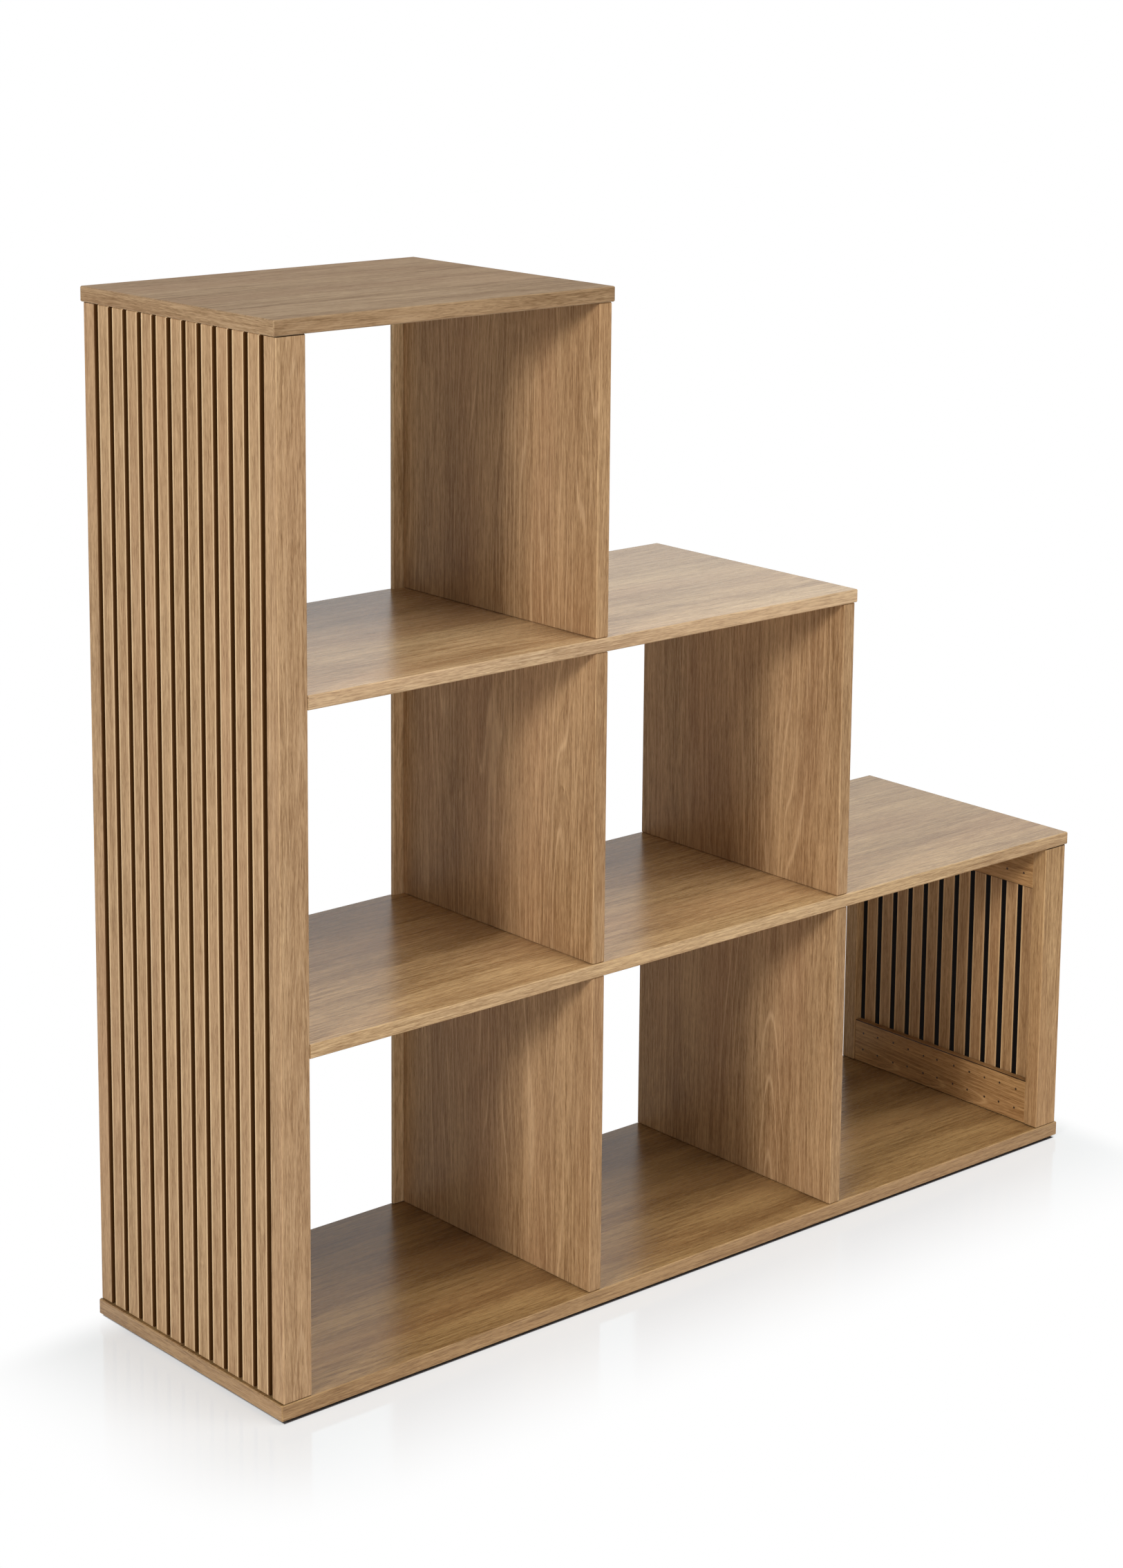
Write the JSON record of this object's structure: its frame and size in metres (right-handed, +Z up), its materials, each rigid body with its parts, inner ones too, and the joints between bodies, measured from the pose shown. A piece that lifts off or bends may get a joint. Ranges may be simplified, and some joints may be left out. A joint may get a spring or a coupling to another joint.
{
  "type": "staircase bookshelf",
  "caption": "Open-backed oak shelf that steps down from a tall left column to a low right one, with a slatted frame at each end.",
  "frame": {"origin": "middle of the footprint, on the floor", "axes": "+X along the length from the tall end to the low end, -Y out of the front, +Z up"},
  "size_m": [1.116, 0.312, 1.05],
  "materials": {
    "board_oak": "satin lacquered oak, grain along the length",
    "panel_oak": "satin lacquered oak, upright grain",
    "slat_oak": "satin lacquered oak, upright grain",
    "rail_oak": "satin lacquered oak, grain along the depth",
    "beech": "plain beech dowel",
    "glide": "matt dark plastic"
  },
  "bodies": {
    "root": {"base_board": "board_oak", "divider_a_lower": "panel_oak", "divider_a_middle": "panel_oak", "divider_a_upper": "panel_oak", "divider_b_lower": "panel_oak", "divider_b_middle": "panel_oak", "dowel_base_divider_a_front": "beech", "dowel_base_divider_a_rear": "beech", "dowel_base_divider_b_front": "beech", "dowel_base_divider_b_rear": "beech", "dowel_lower_shelf_a_front": "beech", "dowel_lower_shelf_a_rear": "beech", "dowel_lower_shelf_b_front": "beech", "dowel_lower_shelf_b_rear": "beech", "dowel_top_divider_a_front": "beech", "dowel_top_divider_a_rear": "beech", "dowel_upper_shelf_a_front": "beech", "dowel_upper_shelf_a_rear": "beech", "dowel_upper_shelf_b_front": "beech", "dowel_upper_shelf_b_rear": "beech", "glide_front_left": "glide", "glide_front_right": "glide", "glide_rear_left": "glide", "glide_rear_right": "glide", "left_bottom_rail": "rail_oak", "left_front_post": "slat_oak", "left_lower_shelf_rail": "rail_oak", "left_rear_post": "slat_oak", "left_slat_01": "slat_oak", "left_slat_02": "slat_oak", "left_slat_03": "slat_oak", "left_slat_04": "slat_oak", "left_slat_05": "slat_oak", "left_slat_06": "slat_oak", "left_slat_07": "slat_oak", "left_slat_08": "slat_oak", "left_slat_09": "slat_oak", "left_slat_10": "slat_oak", "left_slat_11": "slat_oak", "left_top_rail": "rail_oak", "left_upper_shelf_rail": "rail_oak", "lower_shelf": "board_oak", "rear_stile": "panel_oak", "right_bottom_rail": "rail_oak", "right_front_post": "slat_oak", "right_rear_post": "slat_oak", "right_slat_01": "slat_oak", "right_slat_02": "slat_oak", "right_slat_03": "slat_oak", "right_slat_04": "slat_oak", "right_slat_05": "slat_oak", "right_slat_06": "slat_oak", "right_slat_07": "slat_oak", "right_slat_08": "slat_oak", "right_slat_09": "slat_oak", "right_slat_10": "slat_oak", "right_slat_11": "slat_oak", "right_top_rail": "rail_oak", "top_board": "board_oak", "upper_shelf": "board_oak"}
  },
  "joints": []
}
